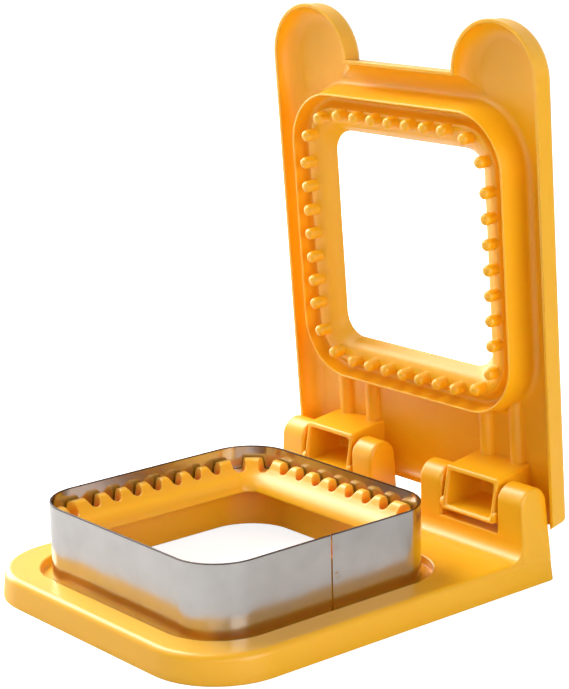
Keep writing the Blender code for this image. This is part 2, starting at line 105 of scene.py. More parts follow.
def solidMesh(name, grids, capped=True):
    # Grids of points, solid by row by column: columns close on themselves, rows close or end in caps.
    grids = np.asarray(grids, float)
    if grids.ndim == 3:
        grids = grids[None]
    solids, rows, columns = grids.shape[:3]
    index = np.arange(solids * rows * columns).reshape(solids, rows, columns)
    here = index[:, :-1] if capped else index
    above = index[:, 1:] if capped else np.roll(index, -1, axis=1)
    quads = np.stack([here, np.roll(here, -1, axis=2), np.roll(above, -1, axis=2), above], axis=-1)
    # Signed volume of each solid, from its middle, tells which ones are inside out.
    points = (grids - grids.mean(axis=(1, 2), keepdims=True)).reshape(-1, 3)
    corners = points[quads.reshape(solids, -1, 4)]
    volume = np.zeros(solids)
    for second in (1, 2):
        normals = np.cross(corners[:, :, second], corners[:, :, second + 1])
        volume += np.einsum("sij,sij->s", corners[:, :, 0], normals)
    if capped:
        for row, way in ((0, -1), (-1, 1)):
            cap = points[index[:, row]]
            fan = np.cross(cap[:, 1:-1] - cap[:, :1], cap[:, 2:] - cap[:, :1])
            volume += way * np.einsum("sij,sj->s", fan, cap[:, 0])
    grids = np.where((volume < 0)[:, None, None, None], grids[:, :, ::-1], grids)
    points = grids.reshape(-1, 3)
    faces = quads.reshape(-1, 4).tolist()
    if capped:
        faces += index[:, 0, ::-1].tolist() + index[:, -1].tolist()
    mesh = bpy.data.meshes.new(name)
    mesh.from_pydata((points * mm).tolist(), [], faces)
    mesh.validate()
    return mesh


def newPiece(name, mesh):
    piece = bpy.data.objects.new(name, mesh)
    bpy.context.scene.collection.objects.link(piece)
    return piece


def cutOrJoin(piece, tools):
    # Booleans in turn, each by a name, its solids and its operation, worked out once; the tools then go.
    made = []
    for name, grids, operation in tools:
        tool = newPiece(name, solidMesh(name, grids))
        modifier = piece.modifiers.new(name, "BOOLEAN")
        modifier.operation = operation
        modifier.object = tool
        made.append(tool)
    bpy.context.view_layer.update()
    graph = bpy.context.evaluated_depsgraph_get()
    mesh = bpy.data.meshes.new_from_object(piece.evaluated_get(graph))
    piece.modifiers.clear()
    piece.data = mesh
    for tool in made:
        bpy.data.objects.remove(tool)


def finishPiece(piece, matrix, body, node, material, sharp=32):
    piece.data.transform(matrix)
    piece.data.materials.clear()
    piece.data.materials.append(material)
    piece.data.shade_smooth()
    piece.data.set_sharp_from_angle(angle=math.radians(sharp))
    weighted = piece.modifiers.new("even shading", "WEIGHTED_NORMAL")
    weighted.keep_sharp = True
    weighted.weight = 60
    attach(piece, body)
    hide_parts(node)


def toothPlaces():
    # Along each side every pitch, and at shares of each corner's arc: x, y and the way outwards.
    line, corner = teeth["line"], teeth["lineCorner"]
    centre = line - corner
    spots = [(line, count * teeth["pitch"], 0.0) for count in range(-teeth["eachWay"], teeth["eachWay"] + 1)]
    for share in teeth["cornerShares"]:
        angle = math.pi / 2 * share
        spots.append((centre + corner * math.cos(angle), centre + corner * math.sin(angle), angle))
    places = []
    for quarter in range(4):
        turn = math.pi / 2 * quarter
        c, s = round(math.cos(turn)), round(math.sin(turn))
        places += [(c * x - s * y, s * x + c * y, way + turn) for x, y, way in spots]
    return places


def barRows(span, y, z, radius, edge=0.0, sides=40, bend=0.3):
    # A round bar along x: a circle at each end, the outer one drawn in by edge. A row between bends the
    # edge, at that share of it.
    angle = np.linspace(0, 2 * math.pi, sides, endpoint=False)
    way = np.sign(span[1] - span[0])
    stations = [(span[0], radius), (span[1] - edge * way, radius)]
    if edge:
        stations += [(span[1] - edge * bend * way, radius - edge * bend), (span[1], radius - edge)]
    return np.array([np.stack([np.full(sides, x), y + r * np.cos(angle), z + r * np.sin(angle)], axis=1)
                     for x, r in stations])


def boxRows(low, high, edge=0.4, upright=0.48, sharpest=0.1, steps=3):
    # A box with rounded upright edges, and its four side walls drawn in at both ends by a quarter round.
    middle = [(low[0] + high[0]) / 2, (low[1] + high[1]) / 2]
    halfX, halfY = (high[0] - low[0]) / 2, (high[1] - low[1]) / 2
    rows = []
    for height, inset in roundedEnds(low[2], high[2], edge, steps):
        corner = max(upright - inset, sharpest)
        path = closedPath(halfX - inset, halfY - inset, halfY - inset, corner, corner, steps)
        rows.append(atHeight(path + middle, height))
    return np.array(rows)


def alongY(x, z, ends):
    # An outline in x and z, carried straight from one end to the other.
    return [np.stack([x, np.full(len(x), y), z], axis=1) for y in ends]


def bothSides(solids):
    # The solids of the right-hand side, then the same ones mirrored to the left.
    return [np.asarray(rows) for rows in solids] + [np.asarray(rows) * [-1, 1, 1] for rows in solids]


class Wire:
    # One socket of a node tree; an expression on wires adds its Math nodes.
    def __init__(self, tree, socket=None):
        self.tree, self.socket = tree, socket

    def node(self, kind, settings=None, inputs=None, output=0):
        made = self.tree.nodes.new(kind)
        for key, value in (settings or {}).items():
            setattr(made, key, value)
        for key, value in (inputs or {}).items():
            if isinstance(value, Wire):
                self.tree.links.new(value.socket, made.inputs[key])
            else:
                made.inputs[key].default_value = value
        return Wire(self.tree, made.outputs[output])

    def sibling(self, output):
        # Another output of the node that this wire comes from.
        return Wire(self.tree, self.socket.node.outputs[output])

    def maths(self, operation, first, second=0.0):
        return self.node("ShaderNodeMath", {"operation": operation}, {0: first, 1: second})

    def __add__(self, other):
        return self.maths("ADD", self, other)

    def __radd__(self, other):
        return self.maths("ADD", other, self)

    def __sub__(self, other):
        return self.maths("SUBTRACT", self, other)

    def __rsub__(self, other):
        return self.maths("SUBTRACT", other, self)

    def __mul__(self, other):
        return self.maths("MULTIPLY", self, other)

    def __rmul__(self, other):
        return self.maths("MULTIPLY", other, self)

    def __truediv__(self, other):
        return self.maths("DIVIDE", self, other)

    def __rtruediv__(self, other):
        return self.maths("DIVIDE", other, self)

    def __pow__(self, other):
        return self.maths("POWER", self, other)

    def __rpow__(self, other):
        return self.maths("POWER", other, self)

    def limited(self, low=0.0, high=1.0):
        return self.node("ShaderNodeClamp", None, {"Value": self, "Min": low, "Max": high})

    def mixed(self, first, second):
        return self.node("ShaderNodeMix", {"data_type": "RGBA"}, {"Factor": self, "A": first, "B": second}, 2)

    def bell(self, width):
        # The number e to the power of minus the square of value / width.
        return self.maths("EXPONENT", (self / width) ** 2 * -1.0)


def newMaterial(name, values):
    material = bpy.data.materials.new(name)
    material.use_nodes = True
    shader = material.node_tree.nodes["Principled BSDF"]
    for key, value in values.items():
        shader.inputs[key].default_value = value
    return material, shader, Wire(material.node_tree)


def feed(shader, key, wire):
    wire.tree.links.new(wire.socket, shader.inputs[key])


def noise(place, scale, detail, roughness=0.5):
    return place.node("ShaderNodeTexNoise", None, {"Vector": place, "Scale": scale, "Detail": detail,
                                                   "Roughness": roughness})


def bump(height, strength, depth, normal=None):
    inputs = {"Height": height, "Strength": strength, "Distance": depth}
    if normal is not None:
        inputs["Normal"] = normal
    return height.node("ShaderNodeBump", None, inputs)


# Reaches, radii and bump depths of the looks are in metres, the steel's cut edge and weld spots in
# millimetres.
plasticLook = {
    "shader": {"Metallic": 0.0, "IOR": 1.5, "Specular IOR Level": 0.6, "Subsurface Weight": 0.3,
               "Subsurface Scale": 0.002, "Subsurface Radius": (1.0, 0.5, 0.1)},
    "colour": (0.98, 0.50, 0.006, 1), "deep": (0.97, 0.47, 0.005, 1), "seedWay": (1.0, 0.7, 1.3),
    "patchScale": 38.0, "patchDetail": 3.0, "patchGain": 1.6, "patchStart": 0.3,
    # hollow is the painted shade colour for the base's hollows; its reach, gain and start set where it falls.
    "hollow": (0.95, 0.14, 0.001, 1), "hollowShadeReach": 0.018, "hollowShadeGain": 1.5, "hollowShadeStart": 0.15,
    "roughness": 0.36, "roughnessSpread": 0.05, "roughnessLimits": (0.12, 0.6),
    "scuffScale": 260.0, "scuffDetail": 5.0, "scuffRoughness": 0.65,
    "grainScale": 2600.0, "grainDetail": 2.0, "grainStrength": 0.008, "grainDepth": 0.0002,
    "sinkScale": 40.0, "sinkDetail": 1.0, "sinkStrength": 0.02, "sinkDepth": 0.0006, "edgeRadius": 0.00045,
}


def plasticMaterial(name, seed, paintedHollowShade):
    # Glossy moulded plastic: faint flow in its colour, uneven gloss, fine grain and soft moulded edges, and
    # where asked painted shade in its hollows.
    look = plasticLook
    material, shader, wire = newMaterial(name, look["shader"])
    place = wire.node("ShaderNodeTexCoord", output="Object")
    shift = tuple(seed * way for way in look["seedWay"])
    place = wire.node("ShaderNodeVectorMath", {"operation": "ADD"}, {0: place, 1: shift})
    patches = noise(place, look["patchScale"], look["patchDetail"])
    scuffs = noise(place, look["scuffScale"], look["scuffDetail"], look["scuffRoughness"])
    grain = noise(place, look["grainScale"], look["grainDetail"])
    sink = noise(place, look["sinkScale"], look["sinkDetail"])
    colour = (patches * look["patchGain"] - look["patchStart"]).limited().mixed(look["colour"], look["deep"])
    if paintedHollowShade:
        # Painted shade: the colour turns a deeper orange where the part's own ambient occlusion is high,
        # standing in for light that goes back and forth in its hollows.
        shadeOcclusion = wire.node("ShaderNodeAmbientOcclusion", {"samples": 8, "only_local": True},
                         {"Distance": look["hollowShadeReach"]}, "AO")
        colour = (shadeOcclusion * look["hollowShadeGain"] - look["hollowShadeStart"]).limited().mixed(look["hollow"], colour)
    feed(shader, "Base Color", colour)
    uneven = (patches - 0.5) * look["roughnessSpread"] + (scuffs - 0.5) * look["roughnessSpread"]
    feed(shader, "Roughness", (look["roughness"] + uneven).limited(*look["roughnessLimits"]))
    soft = wire.node("ShaderNodeBevel", {"samples": 4}, {"Radius": look["edgeRadius"]})
    sunk = bump(sink, look["sinkStrength"], look["sinkDepth"], soft)
    feed(shader, "Normal", bump(grain, look["grainStrength"], look["grainDepth"], sunk))
    return material


steelLook = {
    "shader": {"Metallic": 1.0, "Anisotropic": 0.8, "Anisotropic Rotation": 0.25},
    "colour": (0.545, 0.522, 0.503, 1), "dull": (0.45, 0.43, 0.41, 1),
    "cloudScale": 120.0, "cloudDetail": 4.0, "cloudGain": 1.4, "cloudStart": 0.35,
    "cutEdge": 0.45, "cutFade": 0.15, "cutColour": (0.10, 0.08, 0.07, 1),
    "roughness": 0.15, "streakSpread": 0.10, "cloudSpread": 0.06, "roughnessLimits": (0.04, 0.4),
    "streakScale": 70.0, "streakDetail": 8.0, "streakRoughness": 0.7, "streakSqueeze": 26.0,
    "streakStrength": 0.06, "streakDepth": 0.00002,
    "waveScale": 42.0, "waveDetail": 1.5, "waveDepth": 0.00035,
}
# The weld spots' places are y from the ring's middle and height.
weld = {
    "places": ((2.3, 27.6), (2.3, 18.6)), "radius": 0.55, "rim": 0.95, "rimWidth": 0.3, "rimShare": 0.5,
    "depth": 0.00006, "halo": 1.5, "haloShare": 0.35, "tint": (0.42, 0.34, 0.28, 1),
}


def steelMaterial(seamFace):
    # Rolled stainless strip: nearly a mirror, with faint streaks along it, slow waves and weld spots.
    look = steelLook
    material, shader, wire = newMaterial("brightSteel", look["shader"])
    place = wire.node("ShaderNodeTexCoord", output="Object")
    stretched = wire.node("ShaderNodeVectorMath", {"operation": "MULTIPLY"},
                          {0: place, 1: (1, 1, look["streakSqueeze"])})
    streaks = noise(stretched, look["streakScale"], look["streakDetail"], look["streakRoughness"])
    cloud = noise(place, look["cloudScale"], look["cloudDetail"])
    wave = noise(place, look["waveScale"], look["waveDetail"])
    x = place.node("ShaderNodeSeparateXYZ", None, {0: place})
    y, z = x.sibling(1), x.sibling(2)
    onFace = x.maths("GREATER_THAN", x, seamFace * mm)
    # A weld spot is a pit with a raised rim and a tinted halo, all bell curves of the distance from it.
    pits, halos = 0.0, 0.0
    for across, height in weld["places"]:
        away = ((y - (ringY + across) * mm) ** 2 + (z - height * mm) ** 2) ** 0.5
        rim = (away - weld["rim"] * mm).bell(weld["rimWidth"] * mm)
        pits = (rim * weld["rimShare"] - away.bell(weld["radius"] * mm)) * onFace + pits
        halos = away.bell(weld["halo"] * mm) * onFace + halos
    colour = ((cloud - look["cloudStart"]) * look["cloudGain"]).limited().mixed(look["colour"], look["dull"])
    colour = (halos * weld["haloShare"]).limited().mixed(colour, weld["tint"])
    cut = (z / mm - (strip["top"] - look["cutEdge"])) / look["cutFade"]
    feed(shader, "Base Color", cut.limited().mixed(colour, look["cutColour"]))
    uneven = (streaks - 0.5) * look["streakSpread"] + (cloud - 0.5) * look["cloudSpread"]
    feed(shader, "Roughness", (look["roughness"] + uneven).limited(*look["roughnessLimits"]))
    brushed = bump(streaks, look["streakStrength"], look["streakDepth"], bump(wave, 1.0, look["waveDepth"]))
    feed(shader, "Normal", bump(pits, 1.0, weld["depth"], brushed))
    return material


# Half width, front and rear count from the ring's middle, at the table. A lead is how far from an edge the
# last flat row lies.
base = {
    "half": 62.7, "front": 61.5, "rear": 85.1, "top": 9.3, "edge": 2.0, "wall": 2.0, "footEdge": 0.25,
    "frontCorner": 25.8, "rearCorner": 2.5, "sharpest": 0.5, "sideDraft": 0.072, "rearDraft": 0.088,
    "sideLead": 0.8, "topLead": 0.6, "recess": 51.4, "recessFloor": 6.2, "recessEdge": 0.5,
    "recessFoot": ((0.0, 0.6), (0.2, 0.15), (0.6, 0.0)), "floorWall": 1.6, "concentric": 31.3,
}
# The bead's rows are shares of the way from the crown to the lip, across and down.
ring = {
    "half": 46.3, "inner": 44.5, "top": 28.2, "round": 1.1, "foot": 4.55, "footCorner": 17.0,
    "wallHeights": (12.0, 18.0), "wallRows": 8, "wallGap": 0.3,
    "lip": 35.3, "lipHeight": 19.0, "lipRound": 0.9, "lipTuck": (0.35, 0.42),
    "beadAcross": (0.11, 0.19, 0.25, 0.285, 0.32, 0.38, 0.54, 0.73, 0.89, 0.97, 1.0),
    "beadDown": (0.0, 0.03, 0.08, 0.13, 0.18, 0.27, 0.44, 0.58, 0.75, 0.90, 1.0),
    "underAcross": (0.80, 0.63, 0.43), "underDown": (0.86, 0.74, 0.67), "insideDown": 0.62,
}
# Pockets below and posts above stand on one line, a rounded square. A pocket's wall rises from wallIn
# inside its edge to wallOut outside it.
teeth = {
    "line": 43.8, "lineCorner": 15.6, "pitch": 8.5, "eachWay": 3, "cornerShares": (0.3, 0.7),
    "pocket": 2.2, "floor": 23.9, "leastShare": 0.02, "wallIn": 0.30, "wallOut": 0.60,
    "perSide": 168, "perCorner": 72, "crowding": 0.62,
    "post": 2.0, "postRound": 1.45, "postSink": 0.9, "postSides": 28,
    "tip": -1.2, "tipShare": 0.4, "tipRise": 0.02,
}
# Each side has an inner and an outer ear, hollow from below, and a low wall between them.
bracket = {
    "axisRadius": 5.9, "low": 7.6, "rearGap": 0.3, "inner": (12.3, 22.7), "outer": (49.0, 62.4), "edge": 1.2,
    "socket": 2.9, "socketDepth": 1.9, "socketLead": 2.0,
    "coreWall": 2.2, "coreTop": 20.5, "coreLow": -2.0, "coreGap": 0.3,
    "wallTop": 15.9, "wallFoot": 5.2, "wallShift": 0.02, "wallSink": 0.7, "wallRear": 0.2,
    "wallEdge": (0.1, 0.35), "wallInset": 1.44, "wallOuter": 0.75,
}


def ringPath(half, height):
    # A rounded square whose corners keep their centre, whatever its half width.
    corner = half - base["concentric"]
    return atHeight(closedPath(half, half, half, corner, corner), height)


def finePath(half, corner):
    # The same rounded square with many points along its straights too: corner arc, straight, and so on.
    # Along a straight they crowd at the pocket walls: place = s + crowding * p / tau * sin(tau * s / p),
    # where p is half the pitch of the teeth.
    arc = np.linspace(0, 1, teeth["perCorner"], endpoint=False)
    straight = half - corner
    along = np.linspace(-1, 1, teeth["perSide"], endpoint=False) * straight
    share = math.tau / (teeth["pitch"] / 2)
    along = along + teeth["crowding"] / share * np.sin(share * along)
    run = (along - along[0]) / (-2 * along[0])
    x, y = [], []
    for turn, (sideX, sideY) in enumerate(squareCorners):
        angle = math.pi / 2 * (turn + arc)
        outX, outY = round(math.cos(math.pi / 2 * (turn + 1))), round(math.sin(math.pi / 2 * (turn + 1)))
        startX, startY = sideX * straight + corner * outX, sideY * straight + corner * outY
        x += [sideX * straight + corner * np.cos(angle), startX - outY * 2 * straight * run]
        y += [sideY * straight + corner * np.sin(angle), startY + outX * 2 * straight * run]
    return np.stack([np.concatenate(x), np.concatenate(y)], axis=1)


def buildRing():
    # The section goes up the outer wall, over the bead, down to the lip and back under it.
    crown, shoulder = ring["half"] - ring["round"], ring["top"] - ring["round"]
    width, drop = crown - ring["lip"], ring["top"] - ring["lipHeight"]
    first, last = teeth["floor"] - ring["wallGap"], shoulder - ring["wallGap"]
    heights = [ring["foot"], *ring["wallHeights"], *np.linspace(first, last, ring["wallRows"])]
    section = [(ring["half"], height) for height in heights]
    section += [(ring["half"] - ring["round"] * across, ring["top"] - ring["round"] * below)
                for across, below in quarterRound(6)]
    bead = [(crown - width * across, ring["top"] - drop * down)
            for across, down in zip(ring["beadAcross"], ring["beadDown"])]
    section += [tuple(pair) for pair in smoothRows(bead, 4)]
    tuckIn, tuckDown = ring["lipTuck"]
    section += [(ring["lip"] + ring["lipRound"] * tuckIn, ring["lipHeight"] - ring["lipRound"] * tuckDown),
                (ring["lip"] + ring["lipRound"], ring["lipHeight"] - ring["lipRound"] / 2)]
    section += [(crown - width * across, ring["top"] - drop * down)
                for across, down in zip(ring["underAcross"], ring["underDown"])]
    section += [(ring["inner"], ring["top"] - drop * ring["insideDown"]), (ring["inner"], ring["foot"])]
    corners = [half - base["concentric"] for half, height in section[:-1]] + [ring["footCorner"]]
    grid = np.array([atHeight(finePath(half, corner), height)
                     for (half, height), corner in zip(section, corners)])

    # Each pocket sinks what lies above its floor: height = floor + (height - floor) * share. The share goes
    # from 0 in the slot to 1 round it as s^3 * (6 s^2 - 15 s + 10), s by the distance from the slot's edge.
    points = grid.reshape(-1, 3)
    away = np.full(len(points), np.inf)
    for x, y, way in toothPlaces():
        out = (points[:, 0] - x) * math.cos(way) + (points[:, 1] - y) * math.sin(way)
        across = (points[:, 1] - y) * math.cos(way) - (points[:, 0] - x) * math.sin(way)
        away = np.minimum(away, np.hypot(np.minimum(out, 0), across) - teeth["pocket"])
    share = np.clip((away + teeth["wallIn"]) / (teeth["wallIn"] + teeth["wallOut"]), 0, 1)
    share = share ** 3 * (share * (share * 6 - 15) + 10)
    rise = points[:, 2] - teeth["floor"]
    sunk = teeth["floor"] + rise * np.maximum(share, teeth["leastShare"])
    points[:, 2] = np.where(rise > 0, sunk, points[:, 2])
    return newPiece("toothedRing", solidMesh("toothedRing", points.reshape(grid.shape), capped=False))


def plateRow(height, inset):
    # The base's outline, leaning in with the draft of its walls and drawn in by inset.
    side = base["half"] - base["sideDraft"] * height - inset
    front = base["front"] - base["sideDraft"] * height - inset
    rear = base["rear"] - base["rearDraft"] * height - inset
    tight = max(base["rearCorner"] - inset, base["sharpest"])
    return atHeight(closedPath(side, front, rear, base["frontCorner"] - inset, tight), height)


def buildPlate():
    # Up the skirt, over its rounded edge, down into the recess, and back along the underside.
    rows = [plateRow(0.0, base["footEdge"]), plateRow(base["footEdge"], 0.0),
            plateRow(base["top"] - base["edge"] - base["sideLead"], 0.0)]
    rows += [plateRow(base["top"] - base["edge"] * below, base["edge"] * across)
             for across, below in quarterRound(8)]
    rows += [plateRow(base["top"], base["edge"] + base["topLead"]),
             ringPath(base["recess"] + base["recessEdge"] + base["topLead"], base["top"])]
    rows += [ringPath(base["recess"] + base["recessEdge"] * below, base["top"] - base["recessEdge"] * across)
             for across, below in quarterRound(4)]
    rows += [ringPath(base["recess"] - inward, base["recessFloor"] + up) for inward, up in base["recessFoot"]]
    underRing = (ring["half"] + ring["inner"]) / 2
    outer, under = base["recess"] + base["floorWall"], base["recessFloor"] - base["floorWall"]
    ceiling = base["top"] - base["wall"]
    rows += [ringPath(underRing, base["recessFloor"]), ringPath(underRing, under), ringPath(outer, under),
             ringPath(outer, ceiling), plateRow(ceiling, base["wall"]),
             plateRow(base["footEdge"], base["wall"]), plateRow(0.0, base["wall"] - base["footEdge"])]
    return newPiece("bracketedBase", solidMesh("bracketedBase", rows, capped=False))


def earRows(span, lean):
    # An ear: a half circle round the hinge axis on an upright front, its outer side leaning in by lean.
    arc = np.linspace(math.pi, 0, 33)
    rows = []
    for x, inset in roundedEnds(span[0], span[1], bracket["edge"], 6):
        radius = bracket["axisRadius"] - inset
        rear = base["rear"] - base["rearDraft"] * bracket["low"] - bracket["rearGap"] - inset
        y = np.concatenate([[pivotY - radius], pivotY + radius * np.cos(arc), [rear]])
        z = np.concatenate([[bracket["low"]], pivotZ + radius * np.sin(arc), [bracket["low"]]])
        share = (x - span[0]) / (span[1] - span[0])
        rows.append(np.stack([x - lean * z * share, y, z], axis=1))
    return rows


def lowWallRows(front, rear):
    # The low wall behind the plate: a quarter round foot, an upright face and a flat top.
    turn = np.linspace(0, math.pi / 2, 17)
    top, (high, low), foot = bracket["wallTop"], bracket["wallEdge"], bracket["wallFoot"]
    y = np.concatenate([[rear[0], front - foot - bracket["wallSink"]], front - foot * (1 - np.sin(turn)),
                        [front, front + high, front + low, rear[1]]])
    z = np.concatenate([[base["top"] - bracket["wallSink"]] * 2, base["top"] + foot * (1 - np.cos(turn)),
                        [top - low, top - high, top, top]])
    ends = ((bracket["inner"][0] + bracket["wallInset"], 0.0),
            (base["half"] - bracket["wallOuter"], base["sideDraft"]))
    return [np.stack([x - lean * z, y, z], axis=1) for x, lean in ends]


def buildBase():
    piece = buildPlate()
    toothed = buildRing()
    front, rear = pivotY - bracket["axisRadius"], pivotY + bracket["axisRadius"]
    ears, cores, sockets = [], [], []
    for span, lean in ((bracket["inner"], 0.0), (bracket["outer"], base["sideDraft"])):
        ears.append(earRows(span, lean))
        inner = span[0] + bracket["coreWall"]
        outer = span[1] - bracket["coreWall"] - base["sideDraft"] * bracket["coreTop"]
        cores.append(boxRows((inner, front + bracket["coreWall"], bracket["coreLow"]),
                             (outer, rear - bracket["coreWall"], bracket["coreTop"])))
    wallRear = [base["rear"] - base["rearDraft"] * height - bracket["rearGap"] - bracket["wallRear"]
                for height in (base["top"], bracket["wallTop"])]
    lowWall = lowWallRows(front + bracket["wallShift"], wallRear)
    inner, outer = bracket["inner"][1] + bracket["coreGap"], bracket["outer"][0] - bracket["coreGap"]
    high = (outer, wallRear[1] - bracket["coreWall"], bracket["wallTop"] - bracket["coreWall"])
    cores.append(boxRows((inner, front + bracket["coreWall"], bracket["coreLow"]), high))
    for face, way in ((bracket["inner"][1], -1), (bracket["outer"][0], 1)):
        span = (face - way * bracket["socketLead"], face + way * bracket["socketDepth"])
        sockets.append(barRows(span, pivotY, pivotZ, bracket["socket"]))
    cutOrJoin(piece, [("earTool", bothSides(ears), "UNION"), ("wallTool", bothSides([lowWall]), "UNION"),
                      ("coreTool", bothSides(cores), "DIFFERENCE"),
                      ("socketTool", bothSides(sockets), "DIFFERENCE")])
    place = Matrix.Translation((0, ringY * mm, 0))
    # The base's plastic has painted shade in its hollows; the lid's has none.
    material = plasticMaterial("basePlastic", seed=0.0, paintedHollowShade=True)
    finishPiece(piece, place, "base", "base", material)
    finishPiece(toothed, place, "base", "base", material, sharp=60)
    print("base built, %d and %d faces" % (len(piece.data.polygons), len(toothed.data.polygons)))


# The seam is on the right-hand face. One end bends inwards there, by lap over lapLength.
strip = {
    "half": 47.5, "corner": 16.2, "bottom": 6.5, "top": 32.0, "thickness": 0.6, "edge": 0.12,
    "seamY": 0.3, "seamGap": 0.7, "lap": 0.10, "lapLength": 5.0, "weldSide": 0.3,
    "arcPoints": 41, "straightPoints": 18,
}


def stripPath():
    # Round the square from seam to seam, with the outward direction at each point.
    half, straight, count = strip["half"], strip["half"] - strip["corner"], strip["straightPoints"]
    near = np.linspace(strip["seamY"] + strip["seamGap"] / 2, straight, count)[:-1]
    far = np.linspace(-straight, strip["seamY"] - strip["seamGap"] / 2, count)[1:]
    flat = np.linspace(0, 1, count)[1:-1]
    x, y = [np.full(len(near), half)], [near]
    outX, outY = [np.ones(len(near))], [np.zeros(len(near))]
    for turn, (sideX, sideY) in enumerate(squareCorners):
        angle = math.pi / 2 * (turn + np.linspace(0, 1, strip["arcPoints"]))
        x.append(sideX * straight + strip["corner"] * np.cos(angle))
        y.append(sideY * straight + strip["corner"] * np.sin(angle))
        outX.append(np.cos(angle))
        outY.append(np.sin(angle))
        if turn < 3:
            wayX, wayY = round(math.cos(angle[-1])), round(math.sin(angle[-1]))
            startX, startY = x[-1][-1], y[-1][-1]
            x.append(startX + (half * wayX - straight * wayY - startX) * flat)
            y.append(startY + (half * wayY + straight * wayX - startY) * flat)
            outX.append(np.full(len(flat), wayX))
            outY.append(np.full(len(flat), wayY))
    x.append(np.full(len(far), half))
    y.append(far)
    outX.append(np.ones(len(far)))
    outY.append(np.zeros(len(far)))
    return near, *(np.concatenate(values) for values in (x, y, outX, outY))


def buildStrip():
    # The section, a thin upright bar with rounded edges, carried round the square from seam to seam.
    near, x, y, outX, outY = stripPath()
    # Its near end bends inwards to the seam: lap * (1 - distance / lapLength)^2.
    lift = np.zeros(len(x))
    lift[:len(near)] = -strip["lap"] * np.clip(1 - (near - near[0]) / strip["lapLength"], 0, 1) ** 2
    low, high, edge, inner = strip["bottom"], strip["top"], strip["edge"], -strip["thickness"]
    bevel = edge * (1 - math.sqrt(0.5))
    section = np.array([(0, low + edge), (0, high - edge), (-bevel, high - bevel), (-edge, high),
                        (edge + inner, high), (bevel + inner, high - bevel), (inner, high - edge),
                        (inner, low + edge), (bevel + inner, low + bevel), (edge + inner, low), (-edge, low),
                        (-bevel, low + bevel)])
    inward = section[:, 0] + lift[:, None]
    height = np.broadcast_to(section[:, 1], inward.shape)
    rows = np.stack([x[:, None] + outX[:, None] * inward, y[:, None] + outY[:, None] * inward, height],
                    axis=-1)
    piece = newPiece("steelFrame", solidMesh("steelFrame", rows))
    place = Matrix.Translation((0, ringY * mm, 0))
    material = steelMaterial(strip["half"] - strip["weldSide"])
    finishPiece(piece, place, "cutter_frame", "cutter_frame", material, sharp=40)
    print("steel frame built, %d faces" % len(piece.data.polygons))


# Drawn shut, from the hinge axis: the rear is behind it, inner, outer and brim are heights above it.
lid = {
    "half": 63.2, "rear": 10.0, "front": 138.9, "rearCorner": 2.5, "sharpest": 0.5,
    "grip": 19.0, "gripBack": 0.8, "inner": 11.8, "outer": 14.2, "edge": 3.3, "topLead": 0.7,
    "draft": 0.12, "draftLead": 1.0, "draftShare": 0.85,
    "brim": 5.5, "brimWidth": 1.4, "brimEdge": 0.2, "innerRound": 6.2, "mouthRound": 1.0, "mouthLead": 0.6,
    "rearWall": 8.4, "rearPast": 2.0, "rearGap": 0.1,
    "crest": 3.4, "crestEnd": 45.0, "grooveFloor": 6.4, "rimHeight": 0.8, "rimOuter": 50.9, "rimWall": 0.8,
    "rimFlare": 1.2, "footRound": 2.4, "wallDown": 0.6,
    "lipHalf": 36.3, "lipLong": 37.0, "lipCorner": 8.4, "lipHeight": 8.7,
    "lipRound": 0.9, "lipTuck": (0.25, 0.32),
    "underSlope": ((0.95, 0.42), (0.62, 0.55), (0.30, 0.95)),
    "slope": ((0.09, 0.85), (0.25, 0.53), (0.44, 0.26), (0.63, 0.12), (0.84, 0.04), (0.96, 0.0)),
    "channelOut": ((0.12, 0.14), (0.25, 0.58), (0.37, 0.84), (0.50, 0.98), (0.66, 1.0)),
    "channelIn": ((0.82, 0.86), (0.92, 0.62), (0.98, 0.32)),
    "rearPoints": 25, "frontPoints": 49,
}
# The blocks' lower face looks forwards when the lid is open. It slants, so lowFront and highFront are its
# depths below the axis at its two ends.
block = {
    "inside": 23.95, "outside": 47.75, "front": 7.1, "rear": 7.7, "lowFront": 7.3, "highFront": 3.9,
    "taper": 1.2, "edge": 0.8, "sharpest": 0.12, "sink": 0.7, "sideWall": 1.6, "endWall": 1.7,
    "mouthAcross": 1.0, "mouthUp": 0.7, "mouthLead": (-2.0, -0.05), "pocketCorner": 1.2, "floorLead": 3.0,
    "floorInset": -0.8, "pin": 2.6, "pinReach": 2.85, "pinEdge": 0.3,
    "lug": 1.95, "lugReach": 0.85, "lugEdge": 0.25, "lugGap": 0.175,
    "rib": 2.8, "ribSpread": 7.05, "ribRise": 0.2, "ribFoot": 0.5,
}


def lidRow(height, inset):
    # The lid's outline from above: two rear corners, then a long arc round each grip, drawn in by inset.
    side = lid["half"] - inset
    tight = max(lid["rearCorner"] - inset, lid["sharpest"])
    first = np.linspace(0, math.pi / 2, lid["rearPoints"])
    second = first + math.pi / 2
    radius = lid["grip"] - inset
    past = math.asin((inset - lid["gripBack"]) / radius)
    middle, gripY = lid["half"] - lid["grip"], lid["gripBack"] - lid["front"]
    left = np.linspace(math.pi, 2 * math.pi + past, lid["frontPoints"])
    right = np.linspace(math.pi - past, 2 * math.pi, lid["frontPoints"])
    x = np.concatenate([side - tight + tight * np.cos(first), tight - side + tight * np.cos(second),
                        -middle + radius * np.cos(left), middle + radius * np.cos(right)])
    rearY = lid["rear"] - inset - tight
    y = np.concatenate([rearY + tight * np.sin(first), rearY + tight * np.sin(second),
                        gripY + radius * np.sin(left), gripY + radius * np.sin(right)])
    return atHeight(np.stack([x, y], axis=1), height)


